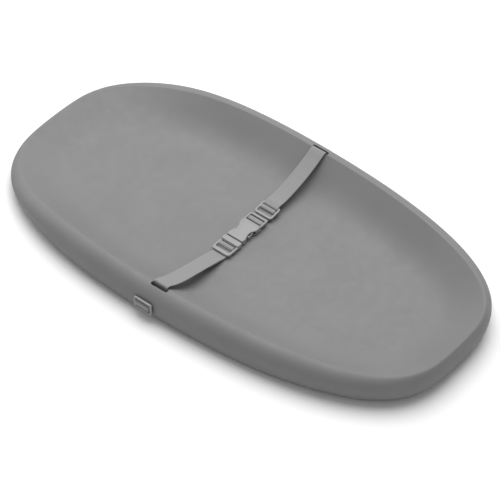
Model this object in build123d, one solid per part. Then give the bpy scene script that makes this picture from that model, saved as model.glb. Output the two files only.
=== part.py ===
from build123d import *
import os
from math import cos, sin, pi

# Changing pad: a contoured foam tray with a buckled safety strap across its middle.
# X runs from the head end (-) to the foot end (+), Y across the pad, Z up from the floor.
# The origin is the centre of the footprint on the floor.

# ---- driving dimensions, mm -------------------------------------------------------------
PAD_LENGTH = 796.0
PAD_WIDTH = 417.0            # at the middle, before the taper
TAPER = 0.056                # the head end is wider and the foot end narrower by this share
END_ROUNDNESS = 2.37         # superellipse exponents of the outline
SIDE_ROUNDNESS = 3.18
SIDE_HEIGHT = 54.0           # crest of the rim at mid-length
HEAD_HEIGHT = 33.0           # crest at the middle of the head end
FOOT_HEIGHT = 51.0           # crest at the middle of the foot end
HEIGHT_FALL = 3.4            # how soon the crest leaves the sides' height, towards the ends
DISH_HEIGHT = 13.0           # foam left under the middle of the dish
BASE_INSET = 11.0            # the wall leans in to the base by this much
SIDE_CREST_INSET = 23.8      # the crest stands inside the widest line by this much
END_CREST_INSET = 7.4
WIDEST_SHARE = 0.5           # height of the widest line, as a share of the crest's height
DISH_MARGIN = 106.0          # width of rim and inner wall, from the outline to the flat dish
STEEP_SHARE = 0.2            # share of the inner wall that keeps its full slope

WEBBING_WIDTH = 26.0
WEBBING_THICK = 1.4
STRAP_X = -8.0               # the strap crosses just on the head side of the middle
ANCHOR_X = -20.0             # the tunnels lean, so the anchors sit a little further over
BEND_Y = 183.0               # the strap dives into its slots here
BEND_Z = 57.9
SLOT_LENGTH = 31.0
SLOT_WIDTH = 7.3
TUNNEL_BEND_Y = 184.5        # the webbing turns outward here, inside the foam
TUNNEL_BEND_Z = 42.0
TUNNEL_DROP = 17.0           # from there down to the hole in the outer wall
HOLE_LENGTH = 29.5
HOLE_HEIGHT = 12.0
GAP = 0.4                    # clearance between neighbouring pieces

BUCKLE_WIDTH = 34.0
BUCKLE_REST_Z = DISH_HEIGHT + 0.6
HOUSING_START_Y = -19.0      # mouth of the female half
HOUSING_END_Y = 24.0
HOUSING_THICK = 9.6
HOUSING_INNER_WIDTH = 27.0
WINDOW_START_Y = -4.5        # side windows that the prong heads snap into
WINDOW_END_Y = 12.5
SCALLOP_RADIUS = 12.0        # finger scallops in the housing's two sides
SCALLOP_DEPTH = 5.0
CAVITY_HEIGHT = 5.8
TAIL_END_Y = 41.0            # end of the female half's two webbing bars
MALE_END_Y = -53.4           # outer edge of the ladder lock
FRAME_THICK = 3.8            # the ladder lock
TAIL_THICK = 4.6             # the female half's tail frame, level with the housing's top
TAIL_BAR_DROP = 1.8          # its inner bar is lower, so that the webbing round it lies level
RAIL_WIDTH = 3.6
PRONG_THICK = 5.0
PRONG_ARM = 1.5              # half thickness of the springy arm
PRONG_PIVOT = (9.4, -17.4)   # root of the foot-side prong, from the strap's centreline
TRI_GLIDE_LENGTH = 26.0
TRI_GLIDE_THICK = 3.2
TRI_GLIDE_START_Y = 46.0
TRI_GLIDE_TILT = 8.0         # degrees, it lies along the rising strap
ANCHOR_WIDTH = 34.0
ANCHOR_HEIGHT = 21.0
ANCHOR_SLOT = 5.6
ANCHOR_THICK = 3.2
ANCHOR_Z = 25.0

outline_half_x = PAD_LENGTH / 2
outline_half_y = PAD_WIDTH / 2
anchor_y = outline_half_y + 1.5           # inner face of the far anchor frame
frame_mid_z = BUCKLE_REST_Z + HOUSING_THICK / 2
frame_low_z = BUCKLE_REST_Z + 2.9
frame_top_z = frame_low_z + FRAME_THICK
tail_low_z = BUCKLE_REST_Z + 4.4
tail_top_z = tail_low_z + TAIL_THICK
tail_bar_z = tail_top_z - TAIL_BAR_DROP   # top of the inner bar
tri_glide_low_z = BUCKLE_REST_Z + 3.9
wrap = WEBBING_THICK / 2 + 0.25           # from a bar's face to the middle of the webbing round it


# ---- small helpers -----------------------------------------------------------------------
def signed_power(value, power):
    return (1 if value >= 0 else -1) * abs(value) ** power


def smooth(t):
    t = min(max(t, 0.0), 1.0)
    return t * t * (3 - 2 * t)


def crest_height(angle):
    """Height of the rim's crest: highest along the two sides, with a saddle at each end."""
    end = HEAD_HEIGHT + (FOOT_HEIGHT - HEAD_HEIGHT) * smooth((cos(angle) + 1) / 2)
    return end + (SIDE_HEIGHT - end) * smooth(abs(sin(angle))) ** HEIGHT_FALL


def crest_inset(angle):
    return END_CREST_INSET + (SIDE_CREST_INSET - END_CREST_INSET) * smooth(abs(sin(angle)))


def outline_point(angle, inset, z):
    """A point of the tapered superellipse, drawn in by inset."""
    x = (outline_half_x - inset) * signed_power(cos(angle), 2 / END_ROUNDNESS)
    y = (outline_half_y - inset) * signed_power(sin(angle), 2 / SIDE_ROUNDNESS)
    return (x, y * (1 - TAPER * x / outline_half_x), z)


def ring(section, count=40):
    """A closed smooth ring around the pad, at the inset and height that section(angle) gives."""
    angles = [2 * pi * i / count for i in range(count)]
    points = [outline_point(a, *section(a)) for a in angles]
    return Wire(Spline(*points, periodic=True))


def cross_prism(points, x_centre, width):
    """A closed (y, z) outline, extruded along X and centred on x_centre."""
    face = make_face(Polyline(*[(x_centre - width / 2, y, z) for y, z in points], close=True))
    return Solid.extrude(face.face(), Vector(width, 0, 0))


def ribbon_outline(path, thick):
    """The (y, z) outline of webbing of that thickness along a path, with mitred corners."""
    def offset_side(side):
        result = []
        for i, (y, z) in enumerate(path):
            before = path[max(i - 1, 0)]
            after = path[min(i + 1, len(path) - 1)]
            first = Vector(y - before[0], z - before[1], 0)
            last = Vector(after[0] - y, after[1] - z, 0)
            first = first.normalized() if i > 0 else last.normalized()
            last = last.normalized() if i < len(path) - 1 else first
            normal = Vector(-(first.Y + last.Y), first.X + last.X, 0).normalized()
            reach = side * thick / 2 / normal.dot(Vector(-first.Y, first.X, 0))
            result.append((y + normal.X * reach, z + normal.Y * reach))
        return result
    return offset_side(1) + offset_side(-1)[::-1]


def ribbon(path, x_centre=STRAP_X, width=WEBBING_WIDTH):
    return cross_prism(ribbon_outline(path, WEBBING_THICK), x_centre, width)


def mirrored_y(path):
    return [(-y, z) for y, z in path]


def leaning_block(y_start, z_range, y_end, drop, length):
    """A passage along Y that leans from the strap's line over to the anchor's line."""
    low, high = z_range
    left, right = STRAP_X - length / 2, STRAP_X + length / 2
    corners = [(left, y_start, low), (right, y_start, low), (right, y_start, high), (left, y_start, high)]
    share = (y_end - y_start) / (anchor_y - TUNNEL_BEND_Y)
    lean = Vector((ANCHOR_X - STRAP_X) * share, y_end - y_start, -drop)
    return Solid.extrude(make_face(Polyline(*corners, close=True)).face(), lean)


def slab(x_half, y_start, y_end, z_low, z_high, x_centre=0.0):
    """A plain block, centred across X."""
    block = Box(2 * x_half, y_end - y_start, z_high - z_low)
    return block.moved(Location((x_centre, (y_start + y_end) / 2, (z_low + z_high) / 2)))


def rounded_plan(width, y_start, y_end, radius, z_low, z_high):
    """A plate with rounded corners in plan."""
    plan = RectangleRounded(width, y_end - y_start, radius)
    return extrude(plan, z_high - z_low).moved(Location((0, (y_start + y_end) / 2, z_low)))


# ---- the foam pad ------------------------------------------------------------------------
def lower_wall(turn):
    """Section from the base (turn 0) out to the widest line (turn 1): a quarter ellipse."""
    rise, reach = 1 - cos(turn * pi / 2), 1 - sin(turn * pi / 2)
    return lambda angle: (BASE_INSET * reach, WIDEST_SHARE * rise * crest_height(angle))


def upper_wall(turn):
    """Section from the widest line (turn 0) in to the crest (turn 1)."""
    rise, reach = sin(turn * pi / 2), 1 - cos(turn * pi / 2)
    share = WIDEST_SHARE + (1 - WIDEST_SHARE) * rise
    return lambda angle: (crest_inset(angle) * reach, share * crest_height(angle))


def inner_drop(t):
    """Share of the drop from the crest to the dish: a straight slope, then a wide hollow."""
    if t < STEEP_SHARE:
        run = t
    else:
        u = (t - STEEP_SHARE) / (1 - STEEP_SHARE)
        run = STEEP_SHARE + (1 - STEEP_SHARE) * (u - u ** 3 + u ** 4 / 2)
    return run / ((1 + STEEP_SHARE) / 2)


def inner_wall(t):
    """Section from the crest (t 0) down to the flat of the dish (t 1)."""
    def section(angle):
        inset = crest_inset(angle) + (DISH_MARGIN - crest_inset(angle)) * t
        return (inset, crest_height(angle) - (crest_height(angle) - DISH_HEIGHT) * inner_drop(t))
    return section


def pad_rings():
    """Rings from the base, up the outer wall, over the crest and down into the dish."""
    sections = [lower_wall(turn) for turn in (0, 0.3, 0.6, 1)]
    sections += [upper_wall(turn) for turn in (0.3, 0.55, 0.8, 1)]
    sections += [inner_wall(t) for t in (0.06, 0.2, 0.36, 0.52, 0.68, 0.84, 1)]
    return [ring(section) for section in sections]


def strap_tunnel():
    """The passage for the strap on the far side, from the slot in the rim to the outer wall."""
    mouth = slab(SLOT_LENGTH / 2, BEND_Y + 0.6, BEND_Y + SLOT_WIDTH, TUNNEL_BEND_Z - 6, 80, STRAP_X)
    reach = anchor_y + 10
    drop = TUNNEL_DROP * (reach - BEND_Y - 0.6) / (anchor_y - TUNNEL_BEND_Y)
    z_range = (TUNNEL_BEND_Z - HOLE_HEIGHT / 2, TUNNEL_BEND_Z + HOLE_HEIGHT / 2)
    chute = leaning_block(BEND_Y + 0.6, z_range, reach, drop, HOLE_LENGTH)
    return mouth + chute


def pad_body():
    foam = Solid.make_loft(pad_rings(), False)
    tunnel = strap_tunnel()
    return foam - tunnel - tunnel.mirror(Plane.XZ)


# ---- anchors: a frame outside each wall that the webbing loops around ----------------------
def anchor_frame():
    """The far-side anchor: two slots and a centre bar, standing flat against the wall."""
    plate = extrude(RectangleRounded(ANCHOR_WIDTH, ANCHOR_HEIGHT, 3.5), ANCHOR_THICK)
    for side in (-1, 1):
        slot = Box(ANCHOR_WIDTH - 2 * RAIL_WIDTH, ANCHOR_SLOT, 3 * ANCHOR_THICK)
        plate -= slot.moved(Location((0, side * 4.5, 0)))
    upright = plate.rotate(Axis.X, 90)
    return upright.moved(Location((ANCHOR_X, anchor_y + ANCHOR_THICK, ANCHOR_Z)))


# ---- webbing -------------------------------------------------------------------------------
def anchor_loop():
    """Webbing from the tunnel, out below the centre bar, round it and back in above it."""
    y, z = anchor_y, ANCHOR_Z
    path = [(y - 4.0, z - 1.0), (y - 0.6, z - 4.2), (y + 2.2, z - 4.5), (y + 4.3, z - 2.8),
            (y + 4.9, z), (y + 4.3, z + 2.8), (y + 2.2, z + 4.5), (y - 0.6, z + 4.2),
            (y - 3.0, z + 3.4)]
    return ribbon(path, ANCHOR_X)


def tunnel_webbing():
    """The leaning run of webbing between the slot's bend and the anchor's loop."""
    start = (TUNNEL_BEND_Y, TUNNEL_BEND_Z)
    end = (anchor_y - 4.0, ANCHOR_Z - 1.0)
    outline = ribbon_outline([start, end], WEBBING_THICK)
    left = STRAP_X - WEBBING_WIDTH / 2
    face = make_face(Polyline((left, *outline[0]), (left + WEBBING_WIDTH, *outline[0]),
                              (left + WEBBING_WIDTH, *outline[3]), (left, *outline[3]), close=True)).face()
    return Solid.extrude(face, Vector(ANCHOR_X - STRAP_X, end[0] - start[0], end[1] - start[1]))


def slot_bend():
    """Centreline of the webbing where it rises over the rim's inner edge into its slot."""
    return [(TUNNEL_BEND_Y, TUNNEL_BEND_Z), (TUNNEL_BEND_Y, 54.6), (BEND_Y + 1.1, BEND_Z - 1.0),
            (BEND_Y, BEND_Z), (BEND_Y - 2.5, BEND_Z - 0.6), (BEND_Y - 8, BEND_Z - 3.4)]


def webbing_near():
    """Anchor loop, tunnel, bend, down the dish, under the ladder lock and back as a free tail."""
    low, high = frame_low_z - 1.0, frame_top_z + wrap
    draped = [(169, 49.9), (157, 44.1), (131, 36.6), (105, 29.9), (80, 23.6), (62, 18.4), (54, low)]
    ladder = [(46.2, low), (42.6, low + 0.9), (40.9, high - 1.3), (40.2, high), (35.0, high),
              (34.3, high - 1.0), (34.1, low + 0.4), (35.9, low - 1.7), (54, low - 1.7),
              (62, 16.6), (80, 21.8), (90, 24.4)]
    strap = ribbon(mirrored_y(slot_bend() + draped + ladder))
    outside = (anchor_loop() + tunnel_webbing()).mirror(Plane.XZ)
    return strap + outside


def webbing_far():
    """Anchor loop, tunnel, bend, over the tri-glide's far bar, under the buckle's tail,
    round its inner bar and back to the tri-glide's centre bar, where the end is sewn to itself."""
    glide = on_tri_glide
    top, over, under, below = TRI_GLIDE_THICK, TRI_GLIDE_THICK + wrap, -wrap, -2.6
    low, high = tail_low_z - wrap, tail_bar_z + wrap
    run = low - WEBBING_THICK - 0.05
    draped = [(168, 49.6), (150, 41.8), (128, 34.4), (112, 30.2)]
    running = [glide(27.5, over), glide(20.7, over), glide(20.05, top), glide(20.05, under),
               glide(18.9, below), glide(-0.6, below)]
    tail = [(43.5, run), (27.4, run), (26.4, run + wrap), (26.4, high - wrap), (27.3, high), (32.3, high),
            (33.1, high - 1.0), (33.1, low + 1.1), (34.2, low), (44.2, low)]
    loop = [glide(0.0, under), glide(10.4, under), glide(11.55, 0.2), glide(11.55, top), glide(12.2, over),
            glide(17.3, over), glide(17.95, top), glide(17.95, 0.1), glide(17.2, under), glide(13.2, under)]
    return ribbon(slot_bend() + draped + running + tail + loop) + anchor_loop() + tunnel_webbing()


# ---- the side-release buckle ----------------------------------------------------------------
def buckle_female():
    """The housing: a flat shell, open at the mouth, with a scalloped window in each side."""
    middle = (WINDOW_START_Y + WINDOW_END_Y) / 2
    low, high = BUCKLE_REST_Z, BUCKLE_REST_Z + HOUSING_THICK
    shell = rounded_plan(BUCKLE_WIDTH - 1, HOUSING_START_Y, HOUSING_END_Y, 2.0, low, high)
    for side in (-1, 1):
        x = side * ((BUCKLE_WIDTH - 1) / 2 + SCALLOP_RADIUS - SCALLOP_DEPTH)
        shell -= Cylinder(SCALLOP_RADIUS, 3 * HOUSING_THICK).moved(Location((x, middle, frame_mid_z)))
    cavity_low, cavity_high = frame_mid_z - CAVITY_HEIGHT / 2, frame_mid_z + CAVITY_HEIGHT / 2
    inner = HOUSING_INNER_WIDTH / 2
    shell -= slab(inner, HOUSING_START_Y - 5, HOUSING_END_Y - 4.0, cavity_low, cavity_high)
    shell -= slab(BUCKLE_WIDTH, WINDOW_START_Y, WINDOW_END_Y, cavity_low, cavity_high)
    tail = rounded_plan(BUCKLE_WIDTH - 1, HOUSING_END_Y - 8, TAIL_END_Y, 4.0, tail_low_z, tail_top_z)
    tail -= slab(BUCKLE_WIDTH, HOUSING_END_Y - 20, HOUSING_END_Y, low - 5, high + 5)
    slot_half = (BUCKLE_WIDTH - 1) / 2 - RAIL_WIDTH + 0.6
    for start, end in ((HOUSING_END_Y, 27.4), (32.0, 36.8)):
        tail -= slab(slot_half, start, end, low - 5, high + 5)
    tail -= slab(slot_half, HOUSING_END_Y, 36.0, tail_bar_z, high + 5)
    return (shell + tail).moved(Location((STRAP_X, 0, 0)))


def buckle_male():
    """The ladder lock, its plate and the guide tongue that enters the housing."""
    frame = rounded_plan(BUCKLE_WIDTH, MALE_END_Y, -24, 5.0, frame_low_z, frame_top_z)
    slot_half = BUCKLE_WIDTH / 2 - RAIL_WIDTH
    low, high = BUCKLE_REST_Z + 0.8, BUCKLE_REST_Z + 8.8
    plate = slab(BUCKLE_WIDTH / 2 - 0.4, -30.8, HOUSING_START_Y - GAP, low, high)
    plate = fillet(plate.edges().filter_by(Axis.X), 1.5)
    body = frame + plate
    for start, end in ((-46.8, -39.9), (-35.3, -31.6)):
        body -= slab(slot_half, start, end, BUCKLE_REST_Z - 5, BUCKLE_REST_Z + 20)
    tongue = rounded_plan(5.0, HOUSING_START_Y - 3, 11.0, 1.5, frame_mid_z - 1.8, frame_mid_z + 1.8)
    return (body + tongue).moved(Location((STRAP_X, 0, 0)))


def buckle_prong(side):
    """A springy arm with a barbed head; side is -1 for the head end and 1 for the foot end."""
    x, y = PRONG_PIVOT
    arm = Polyline((x - PRONG_ARM, y), (8.0, 12.6), (9.4, 14.2), (11.2, 13.0), (13.6, 8.0), (15.0, 2.0),
                   (15.6, -3.8), (11.6, -3.8), (x + PRONG_ARM, -8.0), (x + PRONG_ARM, y), close=True)
    plan = make_face(arm) + Circle(PRONG_ARM).moved(Location((x, y, 0)))
    prong = extrude(plan, PRONG_THICK).moved(Location((0, 0, frame_mid_z - PRONG_THICK / 2)))
    if side < 0:
        prong = prong.mirror(Plane.YZ)
    return prong.moved(Location((STRAP_X, 0, 0)))


# ---- the tri-glide adjuster ------------------------------------------------------------------
def on_tri_glide(along, up):
    """A (y, z) point given along and up from the tri-glide's lower near edge."""
    tilt = Vector(1, 0, 0).rotate(Axis.Z, TRI_GLIDE_TILT)
    y, z = along * tilt.X - up * tilt.Y, along * tilt.Y + up * tilt.X
    return (TRI_GLIDE_START_Y + y, tri_glide_low_z + z)


def tri_glide():
    plate = rounded_plan(BUCKLE_WIDTH, 0, TRI_GLIDE_LENGTH, 4.5, 0, TRI_GLIDE_THICK)
    slot_half = BUCKLE_WIDTH / 2 - RAIL_WIDTH
    for start, end in ((4.5, 12.5), (17.0, 21.0)):
        plate -= slab(slot_half, start, end, -5, 10)
    tilted = plate.rotate(Axis.X, TRI_GLIDE_TILT)
    return tilted.moved(Location((STRAP_X, TRI_GLIDE_START_Y, tri_glide_low_z)))


# ---- the whole pad -----------------------------------------------------------------------------
def build_all():
    far_anchor = anchor_frame()
    return {
        "pad_body": pad_body(),
        "webbing_near": webbing_near(),
        "webbing_far": webbing_far(),
        "buckle_female": buckle_female(),
        "buckle_male": buckle_male(),
        "buckle_prong_head_side": buckle_prong(-1),
        "buckle_prong_foot_side": buckle_prong(1),
        "tri_glide": tri_glide(),
        "anchor_frame_near": far_anchor.mirror(Plane.XZ),
        "anchor_frame_far": far_anchor,
    }


os.makedirs("parts", exist_ok=True)
for name, solid in build_all().items():
    export_step(solid, f"parts/{name}.step")
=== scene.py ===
import math

import bmesh
import bpy
from mathutils import Matrix, Vector


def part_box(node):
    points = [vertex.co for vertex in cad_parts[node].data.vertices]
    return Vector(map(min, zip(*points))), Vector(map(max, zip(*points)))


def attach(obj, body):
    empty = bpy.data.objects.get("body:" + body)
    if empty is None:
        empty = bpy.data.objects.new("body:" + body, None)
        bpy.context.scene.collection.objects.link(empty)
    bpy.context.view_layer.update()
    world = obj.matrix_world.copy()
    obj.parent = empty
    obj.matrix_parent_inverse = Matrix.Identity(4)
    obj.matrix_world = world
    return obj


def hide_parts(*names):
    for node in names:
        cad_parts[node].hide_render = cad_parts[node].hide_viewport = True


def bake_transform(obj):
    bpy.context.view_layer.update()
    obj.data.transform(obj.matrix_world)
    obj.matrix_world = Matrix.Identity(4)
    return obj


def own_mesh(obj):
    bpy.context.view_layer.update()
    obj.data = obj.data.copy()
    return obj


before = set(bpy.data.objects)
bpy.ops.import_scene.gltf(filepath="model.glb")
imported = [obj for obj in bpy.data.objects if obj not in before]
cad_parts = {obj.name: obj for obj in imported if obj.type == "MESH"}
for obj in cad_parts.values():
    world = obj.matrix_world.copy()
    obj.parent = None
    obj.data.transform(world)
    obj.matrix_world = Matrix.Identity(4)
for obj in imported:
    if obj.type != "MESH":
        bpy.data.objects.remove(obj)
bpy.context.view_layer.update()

# ---- places and sizes, in metres --------------------------------------------------------------
MM = 0.001
HALF_X = 398 * MM                   # half the pad's length and width, at its widest line
HALF_Y = 208.5 * MM
TAPER = 0.056                       # the head end is wider, the foot end narrower
END_POWER, SIDE_POWER = 2 / 2.37, 2 / 3.18    # how square the outline is
SIDE_HEIGHT = 54 * MM               # heights of the rim's crest
HEAD_HEIGHT = 33 * MM
FOOT_HEIGHT = 51 * MM
HEIGHT_FALL = 3.4                   # how soon the crest drops from the sides to the ends
SIDE_CREST_INSET, END_CREST_INSET = 23.8 * MM, 7.4 * MM    # from the widest line in to the crest
DISH_HEIGHT = 13 * MM               # at the dish's edge
DISH_SAG = 0.6 * MM                 # the middle of the dish lies this much lower
DISH_MARGIN = 106 * MM              # from the widest line in to the dish's edge
STEEP_SHARE = 0.2                   # straight part of the slope between the crest and the dish
BASE_INSET = 11 * MM                # from the widest line in to the base's edge
WIDEST_SHARE = 0.5                  # height of the widest line, as a share of the crest's height
END_UNDERCUT = 8 * MM               # round the ends the base is this much further in,
END_WIDEST_RISE = 0.10              # and the widest line this share higher
END_FADE = 0.28                     # both in full once 1 - |sin(angle)| is past this


def middle(node):
    """The middle of a CAD node's box."""
    low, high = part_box(node)
    return (low + high) / 2


STRAP_X = middle("buckle_female").x
ANCHOR_X = middle("anchor_frame_far").x


# ---- shape of the foam ----------------------------------------------------------------------
def signed_power(value, power):
    """A power that keeps the sign, for superellipses."""
    return math.copysign(abs(value) ** power, value)


def smooth(t):
    """0 to 1 with level ends; t is clamped."""
    t = min(max(t, 0.0), 1.0)
    return t * t * (3 - 2 * t)


def crest_height(angle):
    """Height of the rim: lowest at the head end, highest along the sides."""
    end = HEAD_HEIGHT + (FOOT_HEIGHT - HEAD_HEIGHT) * smooth((math.cos(angle) + 1) / 2)
    return end + (SIDE_HEIGHT - end) * smooth(abs(math.sin(angle))) ** HEIGHT_FALL


def crest_inset(angle):
    return END_CREST_INSET + (SIDE_CREST_INSET - END_CREST_INSET) * smooth(abs(math.sin(angle)))


def outline(angle, inset, z, scale=1.0):
    """A point of the tapered superellipse that lies inset inside the widest line."""
    x = (HALF_X - inset) * signed_power(math.cos(angle), END_POWER) * scale
    y = (HALF_Y - inset) * signed_power(math.sin(angle), SIDE_POWER) * scale
    return Vector((x, y * (1 - TAPER * x / HALF_X), z))


def end_share(angle):
    """0 along the middle of the sides, 1 round the corners and the ends."""
    return smooth((1 - abs(math.sin(angle))) / END_FADE)


def base_inset(angle):
    return BASE_INSET + END_UNDERCUT * end_share(angle)


def widest_height(angle):
    return (WIDEST_SHARE + END_WIDEST_RISE * end_share(angle)) * crest_height(angle)


def lower_wall(turn):
    """From the base (turn 0) out and up to the widest line (turn 1): a quarter ellipse."""
    a = turn * math.pi / 2
    return lambda angle: outline(angle, base_inset(angle) * (1 - math.sin(a)),
                                 widest_height(angle) * (1 - math.cos(a)))


def upper_wall(turn):
    """From the widest line up to the crest."""
    a = turn * math.pi / 2

    def point(angle):
        low, high = widest_height(angle), crest_height(angle)
        return outline(angle, crest_inset(angle) * (1 - math.cos(a)), low + (high - low) * math.sin(a))

    return point


def inner_drop(t):
    """Share of the drop from the crest to the dish: a straight slope, then a wide hollow."""
    if t < STEEP_SHARE:
        run = t
    else:
        u = (t - STEEP_SHARE) / (1 - STEEP_SHARE)
        run = STEEP_SHARE + (1 - STEEP_SHARE) * (u - u ** 3 + u ** 4 / 2)
    return run / ((1 + STEEP_SHARE) / 2)


def inner_wall(t):
    """From the crest (t 0) down to the flat of the dish (t 1)."""

    def point(angle):
        high, inset = crest_height(angle), crest_inset(angle)
        z = high - (high - DISH_HEIGHT) * inner_drop(t)
        return outline(angle, inset + (DISH_MARGIN - inset) * t, z)

    return point


def dish(scale):
    """The dish's edge, scaled towards the middle."""
    return lambda angle: outline(angle, DISH_MARGIN, DISH_HEIGHT - DISH_SAG * (1 - scale ** 2), scale)


def base(scale):
    """The base's edge, scaled towards the middle."""
    return lambda angle: outline(angle, base_inset(angle), 0.0, scale)


# The strap passes through the foam from a slot in the rim to a hole in the outer wall.
HOLE_TURNS = (0.833, 0.116)         # the hole's edges: turns of the lower and the upper wall
SLOT_TURN = 0.835                   # the slot's outer edge: a turn of the upper wall
SLOT_STEP = 0.0134                  # the slot's inner edge: a step of the inner wall
HOLE_X = (-34.1 * MM, -4.6 * MM)    # their ends, measured at the widest line
SLOT_X = (-25.0 * MM, 8.0 * MM)
GAP_MARGIN = 0.3 * MM
LINE_STEP = math.radians(5)
# Lines near the slots and holes, in millimetres along X. Their ends have a line each.
LOCAL_X = [-70, -56, -46, -39.5, -35.8, -34.1, -31.5, -28.2, -25, -21.5, -18, -14.5, -11, -7.6, -4.6,
           -0.5, 3.7, 8.0, 9.8, 13.5, 19, 27, 39, 55]


def angles():
    """Angles round the pad: even steps, with close lines where the strap's slots are."""
    local = [math.acos(signed_power(x * MM / HALF_X, 1 / END_POWER)) for x in LOCAL_X]
    low, high = min(local) - LINE_STEP / 2, max(local) + LINE_STEP / 2
    result = local + [-a for a in local]
    for i in range(round(2 * math.pi / LINE_STEP)):
        a = -math.pi + LINE_STEP * i
        if not low < abs(a) < high:
            result.append(a)
    return sorted(result)


def stations():
    """Every ring from the base's middle round to the dish's middle, and the gaps' rows."""
    rings = [base(s) for s in (0.25, 0.6, 0.85, 0.96)]
    rings += [lower_wall(t) for t in (0, 0.1, 0.25, 0.45, 0.62, 0.75)]
    hole_start = len(rings)
    rings += [lower_wall(t) for t in (HOLE_TURNS[0], 0.92, 1.0)]
    rings += [upper_wall(t) for t in (0.058, HOLE_TURNS[1])]
    hole_end = len(rings) - 1
    rings += [upper_wall(t) for t in (0.17, 0.25, 0.36, 0.48, 0.6, 0.7, 0.77, 0.808)]
    slot_start = len(rings)
    rings += [upper_wall(t) for t in (SLOT_TURN, 0.89, 0.945, 1.0)]
    rings += [inner_wall(SLOT_STEP)]
    slot_end = len(rings) - 1
    rings += [inner_wall(t) for t in (0.03, 0.065, 0.12, 0.2, 0.29, 0.38, 0.47, 0.56, 0.66, 0.77, 0.88, 1.0)]
    rings += [dish(s) for s in (0.93, 0.8, 0.62, 0.42, 0.2)]
    return rings, (hole_start, hole_end), (slot_start, slot_end)


def gap_columns(all_angles, side, x_range):
    """First and last column of a gap, on the side of the pad given by the sign of Y."""
    inside = []
    for i, a in enumerate(all_angles):
        if math.sin(a) * side > 0.5:
            x = HALF_X * signed_power(math.cos(a), END_POWER)
            if x_range[0] - GAP_MARGIN < x < x_range[1] + GAP_MARGIN:
                inside.append(i)
    return min(inside), max(inside)


def gap_border(grid, rows, columns):
    """The closed loop of grid vertices round a gap."""
    (r0, r1), (c0, c1) = rows, columns
    loop = [grid[r0][c] for c in range(c0, c1)] + [grid[r][c1] for r in range(r0, r1)]
    return loop + [grid[r1][c] for c in range(c1, c0, -1)] + [grid[r][c0] for r in range(r1, r0, -1)]


def sink_border(bm, loop, shifts):
    """Extrudes a border by each (shift, shrink) in turn and returns the last loop."""
    centre = sum((v.co for v in loop), Vector()) / len(loop)
    for shift, shrink in shifts:
        fresh = []
        for v in loop:
            toward = centre - v.co
            toward = toward * min(1.0, shrink / max(toward.length, 1e-6))
            fresh.append(bm.verts.new(v.co + toward + shift))
        for i in range(len(loop)):
            j = (i + 1) % len(loop)
            bm.faces.new((loop[i], loop[j], fresh[j], fresh[i]))
        centre = centre + shift
        loop = fresh
    return loop


def round_corners(loop, amount):
    """Pulls the four sharp corners of a border in, so that the gap has rounded ends."""
    count = len(loop)
    turns = []
    for i in range(count):
        before = (loop[i].co - loop[i - 1].co).normalized()
        after = (loop[(i + 1) % count].co - loop[i].co).normalized()
        turns.append((before.dot(after), i))
    for _, i in sorted(turns)[:4]:
        toward = (loop[i - 1].co + loop[(i + 1) % count].co) / 2 - loop[i].co
        loop[i].co += toward * amount


def lip(direction, depth):
    """Steps that round a gap's edge over, then one that goes straight in."""
    return [(direction * 0.5 * MM, 0.5 * MM), (direction * 1.5 * MM, 0.1 * MM), (direction * depth * MM, 0)]


def build_pad():
    """The foam as one closed shell, with a strap tunnel from slot to hole on each side."""
    bm = bmesh.new()
    columns = angles()
    rings, hole_rows, slot_rows = stations()
    grid = [[bm.verts.new(ring(a)) for a in columns] for ring in rings]
    count = len(columns)
    gaps = []
    for side in (-1, 1):
        gaps.append((side, hole_rows, gap_columns(columns, side, HOLE_X)))
        gaps.append((side, slot_rows, gap_columns(columns, side, SLOT_X)))

    def is_gap(row, column):
        return any(r[0] <= row < r[1] and c[0] <= column < c[1] for _, r, c in gaps)

    for r in range(len(rings) - 1):
        for c in range(count):
            if not is_gap(r, c):
                d = (c + 1) % count
                bm.faces.new((grid[r][c], grid[r][d], grid[r + 1][d], grid[r + 1][c]))
    for row, z in ((0, 0.0), (len(rings) - 1, DISH_HEIGHT - DISH_SAG)):
        pole = bm.verts.new((0, 0, z))
        for c in range(count):
            d = (c + 1) % count
            bm.faces.new((grid[row][c], grid[row][d], pole))
    for (side, hole, hole_columns), (_, slot, slot_columns) in (gaps[0:2], gaps[2:4]):
        outer = gap_border(grid, hole, hole_columns)
        inner = gap_border(grid, slot, slot_columns)
        for loop in (outer, inner):
            round_corners(loop, 0.5)
        down, inward = Vector((0, 0, -1)), Vector((0, -side, 0.6)).normalized()
        outer = sink_border(bm, outer, lip(inward, 6))
        inner = sink_border(bm, inner, lip(down, 5))
        edges = []
        for loop in (outer, inner):
            for i in range(len(loop)):
                edges.append(bm.edges.get((loop[i], loop[(i + 1) % len(loop)])))
        bmesh.ops.bridge_loops(bm, edges=edges)
    bmesh.ops.delete(bm, geom=[v for v in bm.verts if not v.link_faces], context="VERTS")
    pad = to_object(bm, "foam_pad", FOAM)
    sub = pad.modifiers.new("smooth", "SUBSURF")
    sub.levels = sub.render_levels = 2
    return pad


# ---- materials ------------------------------------------------------------------------------
def new_material(name, colour, roughness):
    """A material and its shader node."""
    mat = bpy.data.materials.new(name)
    mat.use_nodes = True
    shader = mat.node_tree.nodes["Principled BSDF"]
    shader.inputs["Base Color"].default_value = (*colour, 1)
    shader.inputs["Roughness"].default_value = roughness
    return mat, shader


def node(mat, kind, **inputs):
    made = mat.node_tree.nodes.new(kind)
    for name, value in inputs.items():
        made.inputs[name.replace("_", " ")].default_value = value
    return made


def link(mat, source, target):
    mat.node_tree.links.new(source, target)


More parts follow.
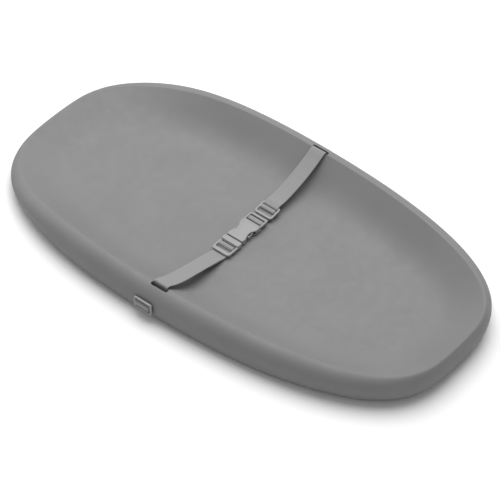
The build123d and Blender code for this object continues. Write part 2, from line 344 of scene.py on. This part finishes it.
def maths(mat, operation, first, second):
    """Output of a Math node, whose inputs are numbers or sockets."""
    made = mat.node_tree.nodes.new("ShaderNodeMath")
    made.operation = operation
    for socket, value in zip(made.inputs, (first, second)):
        if isinstance(value, (int, float)):
            socket.default_value = value
        else:
            link(mat, value, socket)
    return made.outputs[0]


def noise(mat, scale, detail=2.0):
    """Noise that stays with the object."""
    place = mat.node_tree.nodes.new("ShaderNodeTexCoord")
    made = node(mat, "ShaderNodeTexNoise", Scale=scale, Detail=detail)
    link(mat, place.outputs["Object"], made.inputs["Vector"])
    return made.outputs["Fac"]


def spread(mat, value, low, high, to_low, to_high):
    """value, mapped from low..high to to_low..to_high."""
    made = node(mat, "ShaderNodeMapRange", From_Min=low, From_Max=high, To_Min=to_low, To_Max=to_high)
    link(mat, value, made.inputs["Value"])
    return made.outputs["Result"]


def tinted(mat, shader, colour, value, share):
    """The base colour, varied by share either way as value runs from 0.35 to 0.65."""
    mix = node(mat, "ShaderNodeMix")
    mix.data_type = "RGBA"
    mix.inputs[6].default_value = (*[c * (1 - share) for c in colour], 1)
    mix.inputs[7].default_value = (*[min(1, c * (1 + share)) for c in colour], 1)
    link(mat, spread(mat, value, 0.35, 0.65, 0, 1), mix.inputs[0])
    link(mat, mix.outputs[2], shader.inputs["Base Color"])


def bumped(mat, shader, height, strength, distance, under=None):
    """Adds a bump, over another one if under is given, and returns its normal."""
    bump = node(mat, "ShaderNodeBump", Strength=strength, Distance=distance)
    link(mat, height, bump.inputs["Height"])
    if under:
        link(mat, under, bump.inputs["Normal"])
    link(mat, bump.outputs["Normal"], shader.inputs["Normal"])
    return bump.outputs["Normal"]


def foam_material():
    """Integral-skin foam: a matt skin with a fine leathery grain and faint flow marks."""
    colour = (0.194, 0.194, 0.194)
    mat, shader = new_material("foam_skin", colour, 0.62)
    shader.inputs["Specular IOR Level"].default_value = 0.35
    tinted(mat, shader, colour, noise(mat, 14.0, 3.0), 0.025)
    link(mat, spread(mat, noise(mat, 60.0, 3.0), 0.3, 0.7, 0.56, 0.70), shader.inputs["Roughness"])
    broad = bumped(mat, shader, noise(mat, 45.0, 2.0), 0.10, 0.0008)
    bumped(mat, shader, noise(mat, 1400.0, 3.0), 0.22, 0.00025, broad)
    return mat


def webbing_material():
    """Woven polypropylene webbing: columns of warp floats that step along from one to the next."""
    colour = (0.245, 0.245, 0.245)
    mat, shader = new_material("webbing", colour, 0.78)
    shader.inputs["Sheen Weight"].default_value = 0.15
    place = mat.node_tree.nodes.new("ShaderNodeUVMap")
    place.uv_map = "weave"
    parts = mat.node_tree.nodes.new("ShaderNodeSeparateXYZ")
    link(mat, place.outputs["UV"], parts.inputs["Vector"])
    across = maths(mat, "MULTIPLY", parts.outputs["X"], 20.0)
    column = maths(mat, "FLOOR", across, 0.0)
    ridge = maths(mat, "SINE", maths(mat, "MULTIPLY", maths(mat, "FRACT", across, 0.0), math.pi), 0.0)
    along = maths(mat, "MULTIPLY", parts.outputs["Y"], 15.0)
    phase = maths(mat, "ADD", along, maths(mat, "MULTIPLY", column, 0.5))
    wave = maths(mat, "SINE", maths(mat, "MULTIPLY", phase, 2 * math.pi), 0.0)
    height = maths(mat, "MULTIPLY", ridge, maths(mat, "ADD", maths(mat, "MULTIPLY", wave, 0.35), 0.65))
    # Painted shade and light: the colour darkens in the grooves between the warp floats and lightens on their
    # crowns, following the weave's height
    tinted(mat, shader, colour, spread(mat, height, 0.0, 1.0, 0.40, 0.62), 0.06)
    fuzz = bumped(mat, shader, noise(mat, 2600.0, 2.0), 0.15, 0.0002)
    bumped(mat, shader, height, 0.5, 0.00022, fuzz)
    return mat


def plastic_material():
    """Moulded acetal with a fine spark-eroded texture."""
    colour = (0.27, 0.27, 0.27)
    mat, shader = new_material("buckle_plastic", colour, 0.42)
    shader.inputs["Specular IOR Level"].default_value = 0.45
    tinted(mat, shader, colour, noise(mat, 90.0, 3.0), 0.02)
    link(mat, spread(mat, noise(mat, 500.0, 3.0), 0.3, 0.7, 0.36, 0.50), shader.inputs["Roughness"])
    bumped(mat, shader, noise(mat, 2200.0, 3.0), 0.20, 0.0002)
    return mat


def thread_material():
    """Twisted polyester thread, a little lighter than the webbing."""
    mat, shader = new_material("thread", (0.33, 0.33, 0.33), 0.6)
    bumped(mat, shader, noise(mat, 5200.0, 2.0), 0.4, 0.0002)
    return mat


# ---- meshes ---------------------------------------------------------------------------------
SHARP = 32                          # degrees between faces from which a moulding's edge is sharp


def add_object(name, data):
    made = bpy.data.objects.new(name, data)
    bpy.context.scene.collection.objects.link(made)
    return made


def shade_smooth(mesh, sharp):
    """Smooth shading, with edges sharper than so many degrees kept sharp."""
    for p in mesh.polygons:
        p.use_smooth = True
    if sharp:
        mesh.set_sharp_from_angle(angle=math.radians(sharp))


def to_object(bm, name, material, sharp=None):
    """Turns a bmesh into an object and frees it."""
    bmesh.ops.recalc_face_normals(bm, faces=bm.faces)
    mesh = bpy.data.meshes.new(name)
    bm.to_mesh(mesh)
    bm.free()
    shade_smooth(mesh, sharp)
    mesh.materials.append(material)
    return add_object(name, mesh)


def rounded(points, radius, steps=5):
    """A closed outline with its corners rounded; radius is one number, or one for each corner."""
    result = []
    for i, (x, y) in enumerate(points):
        r = radius[i] if isinstance(radius, (list, tuple)) else radius
        here = Vector((x, y))
        before = Vector(points[i - 1]) - here
        after = Vector(points[(i + 1) % len(points)]) - here
        r = min(r, before.length * 0.49, after.length * 0.49)
        if r <= 0:
            result.append(here)
            continue
        start, end = here + before.normalized() * r, here + after.normalized() * r
        for k in range(steps + 1):
            t = k / steps
            result.append(start * (1 - t) ** 2 + here * 2 * t * (1 - t) + end * t ** 2)
    return result


def rectangle(x_half, y_start, y_end, radius, steps=5):
    corners = [(-x_half, y_start), (x_half, y_start), (x_half, y_end), (-x_half, y_end)]
    return rounded(corners, radius, steps)


def plate(outline_points, holes, low, high, bevel, segments=3):
    """A bmesh of a flat plate with holes and rounded rims, in millimetres, lying in X and Y."""
    bm = bmesh.new()
    edges = []
    for loop in [outline_points] + holes:
        verts = [bm.verts.new((p[0], p[1], low)) for p in loop]
        edges += [bm.edges.new((verts[i], verts[(i + 1) % len(verts)])) for i in range(len(verts))]
    filled = bmesh.ops.triangle_fill(bm, use_beauty=True, use_dissolve=False, edges=edges)
    faces = [g for g in filled["geom"] if isinstance(g, bmesh.types.BMFace)]
    raised = bmesh.ops.extrude_face_region(bm, geom=faces)
    for g in raised["geom"]:
        if isinstance(g, bmesh.types.BMVert):
            g.co.z = high
    bmesh.ops.recalc_face_normals(bm, faces=bm.faces)
    rims = [e for e in bm.edges if len(e.link_faces) == 2 and e.calc_face_angle(0) > 1.0
            and abs(e.verts[0].co.z - e.verts[1].co.z) < 1e-6]
    bmesh.ops.bevel(bm, geom=rims, offset=bevel, segments=segments, profile=0.5, affect="EDGES")
    return bm


def place_mm(bm, matrix=Matrix.Identity(4)):
    """Moves a bmesh drawn in millimetres round the strap's centreline to its place in metres."""
    bm.transform(Matrix.Translation((STRAP_X, 0, 0)) @ Matrix.Scale(MM, 4) @ matrix)
    return bm


def combined(body, tools, operation):
    """body with each tool cut from it or joined to it, as one clean mesh."""
    for tool in tools:
        cut = body.modifiers.new("cut", "BOOLEAN")
        cut.operation = operation
        cut.solver = "EXACT"
        cut.object = tool
    evaluated = body.evaluated_get(bpy.context.evaluated_depsgraph_get())
    mesh = bpy.data.meshes.new_from_object(evaluated)
    body.modifiers.clear()
    old, body.data = body.data, mesh
    bpy.data.meshes.remove(old)
    for tool in tools:
        bpy.data.objects.remove(tool)
    return body


def as_tools(*meshes):
    """Millimetre bmeshes as objects for combined."""
    return [to_object(place_mm(bm), "tool", PLASTIC) for bm in meshes]


def softened(obj, width):
    """Small rounds on the edges that the cuts left sharp."""
    bevel = obj.modifiers.new("round", "BEVEL")
    bevel.width = width
    bevel.segments = 2
    bevel.limit_method = "ANGLE"
    bevel.angle_limit = math.radians(50)
    bevel.harden_normals = False
    evaluated = obj.evaluated_get(bpy.context.evaluated_depsgraph_get())
    mesh = bpy.data.meshes.new_from_object(evaluated)
    obj.modifiers.clear()
    obj.data = mesh
    shade_smooth(mesh, SHARP)
    return obj


def finished(obj, body, node_name):
    """Lets a piece ride on its body in place of its CAD node."""
    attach(obj, body)
    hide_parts(node_name)


# ---- plastic pieces, in millimetres from the strap's centreline -----------------------------------
BUCKLE_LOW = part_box("buckle_female")[0].z / MM
HOUSING_HALF, HOUSING_THICK = 16.5, 9.6
MIDDLE_Z = BUCKLE_LOW + HOUSING_THICK / 2
TAIL_LOW, TAIL_BAR, TAIL_TOP = BUCKLE_LOW + 4.4, BUCKLE_LOW + 7.2, BUCKLE_LOW + 9.0
LATCH_LOW, LATCH_THICK = BUCKLE_LOW + 2.9, 3.8
FRAME_HALF = 17                     # half the width of the ladder lock, tri-glide and anchors
RAIL = 3.6                          # width of their side rails
FRAME_CORNER = 6.0
GLIDE_Y, GLIDE_LOW = 46, BUCKLE_LOW + 3.9      # the tri-glide's lower near edge
GLIDE_TILT = math.radians(8)
ANCHOR_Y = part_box("anchor_frame_far")[0].y / MM
ANCHOR_HEIGHT = middle("anchor_frame_far").z / MM
FAR_DROP = 2.2                      # the far anchor hangs a little lower in its loop


def build_female():
    """The housing: a waisted shell, open at the mouth and the squeeze windows, and its tail."""
    half = HOUSING_HALF
    waist = [(14.9, -19), (15.7, -11.0), (12.2, -4.0), (11.8, 5.0), (half, 12.0), (half, 24)]
    radii = [1.6, 3.4, 4.4, 4.4, 3.4, 0.8]
    plan = rounded(waist + [(-x, y) for x, y in reversed(waist)], radii + radii[::-1], 6)
    body = plate(plan, [], BUCKLE_LOW, BUCKLE_LOW + HOUSING_THICK, 1.3, 4)
    shell = to_object(place_mm(body), "buckle_housing", PLASTIC)
    cavity = plate(rectangle(13.5, -24, 20.5, 1.0), [], MIDDLE_Z - 2.9, MIDDLE_Z + 2.9, 0.8)
    window = plate(rectangle(20, -4.5, 12.5, 1.5), [], MIDDLE_Z - 2.9, MIDDLE_Z + 2.9, 0.8)
    combined(shell, as_tools(cavity, window), "DIFFERENCE")
    opening = half - RAIL + 0.6
    slots = [rectangle(opening, a, b, 0.6) for a, b in ((22.2, 28.2), (33.3, 36.8))]
    outer = rectangle(half, 21, 41, [0.5, 0.5, 4.5, 4.5], 7)
    tail = to_object(place_mm(plate(outer, slots, TAIL_LOW, TAIL_TOP, 1.0)), "tool", PLASTIC)
    recess = plate(rectangle(opening, 25.5, 35.0, 0.5), [], TAIL_BAR, TAIL_TOP + 11, 0.3)
    combined(tail, as_tools(recess), "DIFFERENCE")
    combined(shell, [tail], "UNION")
    finished(softened(shell, 0.25 * MM), "buckle_housing", "buckle_female")


def build_male():
    """The ladder lock with its block at the mouth and its guide tongue."""
    holes = [rectangle(FRAME_HALF - RAIL, a, b, 0.9) for a, b in ((-46.8, -39.9), (-35.3, -31.6))]
    outer = rectangle(FRAME_HALF, -53.4, -24, [FRAME_CORNER, FRAME_CORNER, 1.0, 1.0], 8)
    lock = plate(outer, holes, LATCH_LOW, LATCH_LOW + LATCH_THICK, 1.0)
    body = to_object(place_mm(lock), "buckle_latch", PLASTIC)
    sides = [(-16.6, -30.8), (16.6, -30.8), (16.6, -22.5), (15.2, -20.1), (-15.2, -20.1), (-16.6, -22.5)]
    block = plate(rounded(sides, 1.4), [], BUCKLE_LOW + 0.8, BUCKLE_LOW + 8.8, 1.3, 4)
    tongue = plate(rectangle(2.5, -23, 11, [0.2, 0.2, 2.0, 2.0]), [], MIDDLE_Z - 1.8, MIDDLE_Z + 1.8, 0.6)
    combined(body, as_tools(block, tongue), "UNION")
    finished(softened(body, 0.2 * MM), "buckle_latch", "buckle_male")


def on_side(side, points):
    """An outline drawn on the +X side, mirrored when side is -1."""
    return points if side > 0 else [Vector((-p.x, p.y)) for p in reversed(points)]


def build_prong(side, name, body):
    """A springy arm with a barbed head, whose finger face is hollowed."""
    points = [(7.9, -18.6), (10.9, -18.6), (10.9, -8.0), (11.6, -3.8), (15.6, -3.8), (15.0, 2.0),
              (13.6, 8.0), (11.2, 13.0), (9.4, 14.2), (8.0, 12.6)]
    plan = rounded(points, [1.4, 1.4, 3.0, 0.8, 1.3, 3.0, 3.0, 2.0, 1.2, 1.0])
    hollow = rounded([(11.2, -1.6), (13.9, -1.6), (13.6, 2.0), (12.4, 6.6), (11.0, 9.4), (10.7, 4.0)], 0.8)
    bm = plate(on_side(side, plan), [on_side(side, hollow)], MIDDLE_Z - 2.5, MIDDLE_Z + 2.5, 0.6)
    finished(to_object(place_mm(bm), name, PLASTIC, SHARP), body, name)


def build_tri_glide():
    """The adjuster: a wide slot and a narrow one, with the bar between them."""
    slots = [rectangle(FRAME_HALF - RAIL, a, b, 0.9) for a, b in ((4.5, 12.5), (17.0, 21.0))]
    bm = plate(rectangle(FRAME_HALF, 0, 26, FRAME_CORNER, 8), slots, 0, 3.2, 1.2)
    tilt = Matrix.Translation((0, GLIDE_Y, GLIDE_LOW)) @ Matrix.Rotation(GLIDE_TILT, 4, "X")
    finished(to_object(place_mm(bm, tilt), "tri_glide", PLASTIC, SHARP), "adjuster", "tri_glide")


def build_anchor(side, name):
    """A two-slot frame standing flat against the outer wall; side is the sign of Y."""
    slots = [[Vector((p.x, p.y + y)) for p in rectangle(FRAME_HALF - RAIL, -2.8, 2.8, 1.2)]
             for y in (-4.5, 4.5)]
    bm = plate(rectangle(FRAME_HALF, -10.5, 10.5, 3.5, 6), slots, -1.6, 1.6, 1.0)
    place = middle(name) - Vector((0, 0, FAR_DROP * MM if side > 0 else 0))
    bm.transform(Matrix.Translation(place) @ Matrix.Rotation(math.pi / 2, 4, "X") @ Matrix.Scale(MM, 4))
    finished(to_object(bm, name, PLASTIC, SHARP), "pad", name)


# ---- webbing, in millimetres from the strap's centreline ------------------------------------------
WIDTH, THICK = 26.0, 1.4
TUNNEL_Y = 184.5                    # the webbing turns outward here, inside the foam
LEAN = (ANCHOR_X - STRAP_X) / MM    # how far it leans over from there to the anchors,
LEAN_END = ANCHOR_Y - 4             # and where the lean ends
STEP, FINE_STEP = 1.1, 0.8          # between its cross-sections


def glide(along, up):
    """A (y, z) point given along and up from the tri-glide's lower near edge."""
    c, s = math.cos(GLIDE_TILT), math.sin(GLIDE_TILT)
    return (GLIDE_Y + along * c - up * s, GLIDE_LOW + along * s + up * c)


def anchor_path(drop=0.0):
    """From inside the tunnel, out above the centre bar, round it and back in below, then to the slot."""
    y, z = ANCHOR_Y, ANCHOR_HEIGHT - drop
    return [(y - 12, z + 8.3), (y - 3, z + 3.4), (y - 0.6, z + 4.2), (y + 2.2, z + 4.5),
            (y + 4.3, z + 2.8), (y + 4.9, z), (y + 4.3, z - 2.8), (y + 2.2, z - 4.5),
            (y - 0.6, z - 4.2), (y - 4, z - 1), (TUNNEL_Y, 42), (TUNNEL_Y, 53.6), (TUNNEL_Y, 55.9),
            (183.0, 56.9), (180.4, 56.2), (175, 53.8)]


def smoothed(path, rounds=3):
    """A smooth curve from a polyline, by cutting its corners; the ends stay."""
    for _ in range(rounds):
        fresh = [path[0]]
        for a, b in zip(path, path[1:]):
            fresh.append(a.lerp(b, 0.25))
            fresh.append(a.lerp(b, 0.75))
        path = fresh + [path[-1]]
    return path


def resampled(path, step):
    """Points at even steps along a path."""
    lengths = [0.0]
    for a, b in zip(path, path[1:]):
        lengths.append(lengths[-1] + (b - a).length)
    count = max(2, round(lengths[-1] / step))
    result, k = [], 0
    for i in range(count + 1):
        d = lengths[-1] * i / count
        while k < len(path) - 2 and lengths[k + 1] < d:
            k += 1
        span = max(lengths[k + 1] - lengths[k], 1e-9)
        result.append(path[k].lerp(path[k + 1], (d - lengths[k]) / span))
    return result


def strap_section():
    """(across, up) points round the cross-section, with rounded, slightly fuller selvedges."""
    half, t = WIDTH / 2, THICK / 2
    top = [(-half + 0.25, 0.42 * t), (-half + 0.75, 0.92 * t)]
    top += [(-half + 1.6, 1.05 * t), (-half + 2.6, 0.95 * t)]
    top += [(x, t * 0.97) for x in (-7.5, -3.75, 0, 3.75, 7.5)]
    top += [(-x, u) for x, u in reversed(top[:4])]
    return [(-half, 0)] + top + [(half, 0)] + [(x, -u) for x, u in reversed(top)]


def cut_at(points, cut):
    """Index of the first point where y is at the cut; that point is moved onto it."""
    for i in range(1, len(points)):
        a, b = points[i - 1], points[i]
        if a.y > cut >= b.y:
            points[i] = a.lerp(b, (a.y - cut) / (a.y - b.y))
            return i
    return len(points) - 1


def strap_end(bm, weave, row, run):
    """Closes one end of the webbing."""
    count = len(row)
    half = count // 2
    strips = [[row[0], row[1], row[count - 1]], [row[half - 1], row[half], row[half + 1]]]
    strips += [[row[k], row[k + 1], row[count - k - 1], row[count - k]] for k in range(1, half - 1)]
    for strip in strips:
        for loop in bm.faces.new(strip).loops:
            loop[weave].uv = (loop.vert.co.x / WIDTH + 0.5, run / WIDTH)


def lean_at(y):
    """How far the webbing is over to the anchors' side at y, before it is mirrored."""
    return LEAN * (y - TUNNEL_Y) / (LEAN_END - TUNNEL_Y)


def build_strap(path, names, cuts=(), mirrored=False, step=STEP):
    """Webbing along one smooth (y, z) path, cut at each y of cuts into a piece for each name."""
    points = resampled(smoothed([Vector((0, y, z)) for y, z in path]), step)
    marks = [0] + [cut_at(points, cut) for cut in cuts] + [len(points) - 1]
    for p in points:
        p.x = lean_at(min(max(p.y, TUNNEL_Y), LEAN_END))
        if mirrored:
            p.y = -p.y
    run = [0.0]
    for a, b in zip(points, points[1:]):
        run.append(run[-1] + (b - a).length)
    section = strap_section()
    count = len(section)
    pieces = {}
    for name, first, last in zip(names, marks, marks[1:]):
        bm = bmesh.new()
        weave = bm.loops.layers.uv.new("weave")
        rows = []
        for i in range(first, last + 1):
            ahead = points[min(i + 1, len(points) - 1)] - points[max(i - 1, 0)]
            up = Vector((1, 0, 0)).cross(ahead).normalized()
            rows.append([bm.verts.new(points[i] + Vector((across, 0, 0)) + up * lift)
                         for across, lift in section])
        for i in range(len(rows) - 1):
            for k in range(count):
                m = (k + 1) % count
                face = bm.faces.new((rows[i][k], rows[i][m], rows[i + 1][m], rows[i + 1][k]))
                for loop, (r, c) in zip(face.loops, ((i, k), (i, m), (i + 1, m), (i + 1, k))):
                    loop[weave].uv = (section[c][0] / WIDTH + 0.5, run[first + r] / WIDTH)
        strap_end(bm, weave, rows[0], run[first])
        strap_end(bm, weave, rows[-1], run[last])
        pieces[name] = to_object(place_mm(bm), name, WEBBING, 50)
    return pieces


STITCH_STEPS, STITCH_STEP = 49, 0.4  # points of the zigzag, and the distance from one to the next
STITCH_IN, STITCH_OUT = 2.0, 4.4    # its two edges, measured along the webbing
THREAD_RADIUS, THREAD_LIFT = 0.24, 0.78
THREAD_SIDES = 8


def thread_tube(points, radius, name):
    """A round thread along a run of millimetre points."""
    bm = bmesh.new()
    rings = []
    for i, p in enumerate(points):
        ahead = (points[min(i + 1, len(points) - 1)] - points[max(i - 1, 0)]).normalized()
        side = ahead.orthogonal().normalized()
        other = ahead.cross(side)
        turns = [2 * math.pi * k / THREAD_SIDES for k in range(THREAD_SIDES)]
        rings.append([bm.verts.new(p + radius * (side * math.cos(a) + other * math.sin(a))) for a in turns])
    for a, b in zip(rings, rings[1:]):
        turn = min(range(THREAD_SIDES), key=lambda k: (a[0].co - b[k].co).length)
        b[:] = b[turn:] + b[:turn]
        for k in range(THREAD_SIDES):
            m = (k + 1) % THREAD_SIDES
            bm.faces.new((a[k], a[m], b[m], b[k]))
    bm.faces.new(rings[0])
    bm.faces.new(rings[-1])
    return to_object(place_mm(bm), name, THREAD, 60)


def build_bar_tack(side, name):
    """Zigzag stitches that close the anchor's loop, just inside the tunnel; side is the sign of Y."""
    z = ANCHOR_HEIGHT - (FAR_DROP if side > 0 else 0)
    start, end = Vector((0, ANCHOR_Y - 3, z + 3.4)), Vector((0, ANCHOR_Y - 12, z + 8.3))
    along = (end - start).normalized()
    up = Vector((0, along.z, -along.y))
    points = []
    for i in range(STITCH_STEPS):
        p = start + along * (STITCH_OUT if i % 4 in (1, 2) else STITCH_IN) + up * THREAD_LIFT
        p.x = STITCH_STEP * (i - (STITCH_STEPS - 1) / 2) + lean_at(p.y)
        p.y *= side
        points.append(p)
    tack = thread_tube(points, THREAD_RADIUS, name)
    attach(tack, "pad")


# ---- stage, light and camera ---------------------------------------------------------------
AMBIENT = 0.4
FLOOR_SHADE = 0.92
KEY_PLACE, KEY_SIZE, KEY_POWER = (-0.5, 0.9, 2.7), 3.4, 104
FILL_PLACE, FILL_SIZE, FILL_POWER = (-2.4, -0.2, 1.2), 1.2, 8
CAMERA_AZIMUTH, CAMERA_ELEVATION = math.radians(39.63), math.radians(45.8)
CAMERA_DISTANCE = 3.450
CAMERA_TARGET = Vector((0.0124, -0.0072, 0))
CAMERA_LENS, CAMERA_SENSOR = 165.5, 36.0


def area_light(name, place, size, power):
    """A round soft lamp that faces the pad's middle."""
    data = bpy.data.lights.new(name, "AREA")
    data.shape = "DISK"
    data.size = size
    data.energy = power
    light = add_object(name, data)
    light.location = place
    light.rotation_euler = (-Vector(place)).to_track_quat("-Z", "Y").to_euler()


def build_stage():
    """A plain pale floor, an even white world and two soft lamps."""
    bm = bmesh.new()
    bmesh.ops.create_grid(bm, x_segments=1, y_segments=1, size=6)
    mesh = bpy.data.meshes.new("floor")
    bm.to_mesh(mesh)
    bm.free()
    floor = add_object("floor", mesh)
    mesh.materials.append(new_material("floor_white", (FLOOR_SHADE,) * 3, 0.9)[0])
    world = bpy.data.worlds.new("studio")
    world.use_nodes = True
    world.node_tree.nodes["Background"].inputs["Color"].default_value = (1, 1, 1, 1)
    world.node_tree.nodes["Background"].inputs["Strength"].default_value = AMBIENT
    bpy.context.scene.world = world
    area_light("key", KEY_PLACE, KEY_SIZE, KEY_POWER)
    area_light("fill", FILL_PLACE, FILL_SIZE, FILL_POWER)
    bpy.context.scene.view_settings.view_transform = "Standard"


def build_camera():
    """The photograph's view: azimuth from -Y towards +X, and elevation above the floor."""
    data = bpy.data.cameras.new("camera")
    data.sensor_width = CAMERA_SENSOR
    data.lens = CAMERA_LENS
    camera = add_object("camera", data)
    flat, rise = math.cos(CAMERA_ELEVATION), math.sin(CAMERA_ELEVATION)
    away = Vector((math.sin(CAMERA_AZIMUTH) * flat, -math.cos(CAMERA_AZIMUTH) * flat, rise))
    camera.location = CAMERA_TARGET + away * CAMERA_DISTANCE
    camera.rotation_euler = away.to_track_quat("Z", "Y").to_euler()
    bpy.context.scene.camera = camera


# ---- the pieces, on their bodies and in place of their CAD nodes -----------------------------------
FOAM = foam_material()
WEBBING = webbing_material()
PLASTIC = plastic_material()
THREAD = thread_material()

pad = build_pad()
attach(pad, "pad")
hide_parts("pad_body")

build_female()
build_male()
build_prong(-1, "buckle_prong_head_side", "prong_head_side")
build_prong(1, "buckle_prong_foot_side", "prong_foot_side")
build_tri_glide()
build_anchor(-1, "anchor_frame_near")
build_anchor(1, "anchor_frame_far")

# From the near slot down to the ladder lock, over its bar and back as the free tail.
near_path = anchor_path() + [
    (169, 50.0), (157, 44.6), (140, 38.9), (125, 35.0), (105, 29.9), (92, 26.6), (80, 23.6), (70, 20.8),
    (61, 17.9), (55, 16.1), (51, 15.5), (46.2, 15.5), (42.8, 16.2), (41.0, 18.9), (40.2, 21.25), (35.0, 21.25),
    (34.3, 20.2), (34.1, 16.1), (35.9, 13.9), (44, 13.8), (54, 13.9), (62, 16.2), (71, 18.8), (80, 21.4),
    (90, 24.1)]
# From the far slot over the tri-glide and under it.
far_path = anchor_path(FAR_DROP) + [
    (168, 49.7), (150, 41.9), (138, 37.6), (128, 34.4), (112, 30.2), (96, 27.0), (84, 25.6), glide(29.5, 4.7),
    glide(25.5, 4.15), glide(21.4, 4.1), glide(20.2, 3.0), glide(20.05, -0.6), glide(19.2, -2.3),
    glide(16, -2.6), glide(1, -2.6)]
# The sewn end round the tri-glide's centre bar.
loop_path = [
    glide(1.0, -0.85), glide(10.2, -0.85), glide(11.55, 0.2), glide(11.6, 3.0), glide(12.3, 4.15),
    glide(17.1, 4.15), glide(17.9, 3.0), glide(17.95, 0.1), glide(16.8, -0.85), glide(12.5, -0.85)]
# From under the tri-glide round the housing's tail bar and back.
tail_path = [
    glide(22, -2.7), glide(10, -2.65), glide(-0.6, -2.6), (43.5, TAIL_LOW - 2.4), (36, TAIL_LOW - 2.4),
    (28.6, TAIL_LOW - 2.4), (27.3, TAIL_LOW - 1.2), (27.2, TAIL_BAR - 0.2), (27.9, TAIL_BAR + 0.95),
    (33.4, TAIL_BAR + 0.95), (34.4, TAIL_BAR + 0.1), (34.4, TAIL_LOW + 0.3), (35.4, TAIL_LOW - 0.95),
    (44.2, TAIL_LOW - 0.95), glide(1.0, -1.0), glide(10, -0.9), glide(21.5, -0.95)]
near_names = ("webbing_near_outer", "webbing_near_middle", "webbing_near_wrap")
far_names = ("webbing_far_outer", "webbing_far_middle", "webbing_far_glide")
straps = build_strap(near_path, near_names, (126.0, 61.5), mirrored=True)
straps.update(build_strap(far_path, far_names, (113.0, 73.1)))
straps.update(build_strap(loop_path, ("webbing_far_loop",), step=FINE_STEP))
straps.update(build_strap(tail_path, ("webbing_far_tail",), step=FINE_STEP))
for name, strap in straps.items():
    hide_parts("webbing_near" if "near" in name else "webbing_far")

# The outer pieces keep their places baked into their meshes; the others ride on the buckle's bodies, the
# middle ones with meshes of their own.
for name, rim, mid in (("webbing_near_outer", (-0.181, 0.057), (-0.127, 0.0355)),
                       ("webbing_far_outer", (0.181, 0.057), (0.114, 0.03))):
    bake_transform(straps[name])
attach(straps["webbing_near_middle"], "buckle_latch")
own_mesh(straps["webbing_near_middle"])
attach(straps["webbing_near_wrap"], "buckle_latch")
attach(straps["webbing_far_middle"], "adjuster")
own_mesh(straps["webbing_far_middle"])
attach(straps["webbing_far_glide"], "adjuster")
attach(straps["webbing_far_loop"], "adjuster")
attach(straps["webbing_far_tail"], "buckle_housing")

build_bar_tack(-1, "bar_tack_near")
build_bar_tack(1, "bar_tack_far")

build_stage()
build_camera()
